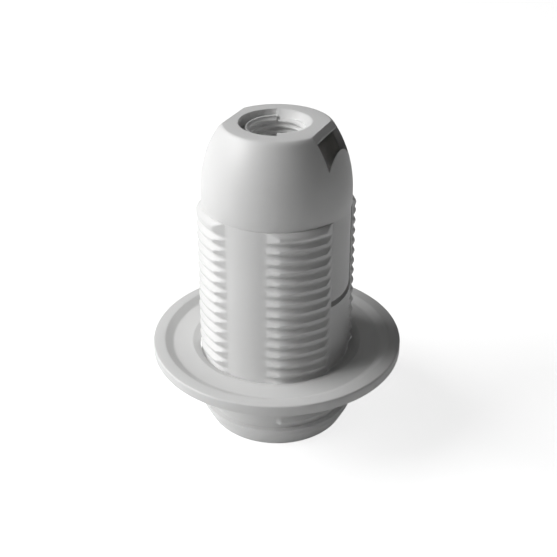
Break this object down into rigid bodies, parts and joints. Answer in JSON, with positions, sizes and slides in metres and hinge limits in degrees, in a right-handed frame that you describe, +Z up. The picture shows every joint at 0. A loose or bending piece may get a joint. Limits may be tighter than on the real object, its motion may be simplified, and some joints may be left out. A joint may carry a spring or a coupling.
{
  "type": "small screw lamp holder",
  "caption": "Small screw-cap lamp holder with a domed cap, a threaded skirt and a dished shade ring, for hanging or table lamps.",
  "frame": {"origin": "centre of the mouth rim, on the surface that the holder stands on", "axes": "+Z up along the lamp's axis to the cable entry; X runs through the two snap arms"},
  "size_m": [0.0452, 0.0452, 0.0568],
  "materials": {
    "white_thermoplastic": "satin moulded, neutral white",
    "carrier_plastic": "matt moulded, off-white",
    "brass": "stamped and turned, unpolished",
    "spring_steel": "drawn wire",
    "plated_steel": "zinc plated"
  },
  "bodies": {
    "holder": {"barrel": "white_thermoplastic", "dome_cap": "white_thermoplastic", "contact_carrier": "carrier_plastic", "plunger_bush": "brass", "plunger_spring": "spring_steel", "centre_strip": "brass", "side_contact": "brass", "live_terminal": "brass", "neutral_terminal": "brass"},
    "shade_ring": {"shade_ring": "white_thermoplastic"},
    "centre_plunger": {"centre_plunger": "brass"},
    "live_screw": {"live_screw": "plated_steel"},
    "neutral_screw": {"neutral_screw": "plated_steel"}
  },
  "joints": [
    {"name": "ring_travel", "type": "slide", "parent": "holder", "child": "shade_ring", "axis": [0, 0, 1], "range_m": [-0.007, 0.024]},
    {"name": "plunger_press", "type": "slide", "parent": "holder", "child": "centre_plunger", "axis": [0, 0, 1], "range_m": [0, 0.0015], "stiffness_N_per_m": 2000, "springref_m": -0.001, "deforming": ["plunger_spring"]},
    {"name": "live_screw_turn", "type": "hinge", "parent": "holder", "child": "live_screw", "pos_m": [0, 0.0072, 0.037], "axis": [0, 1, 0], "continuous": true},
    {"name": "neutral_screw_turn", "type": "hinge", "parent": "holder", "child": "neutral_screw", "pos_m": [0, -0.0072, 0.037], "axis": [0, -1, 0], "continuous": true}
  ]
}
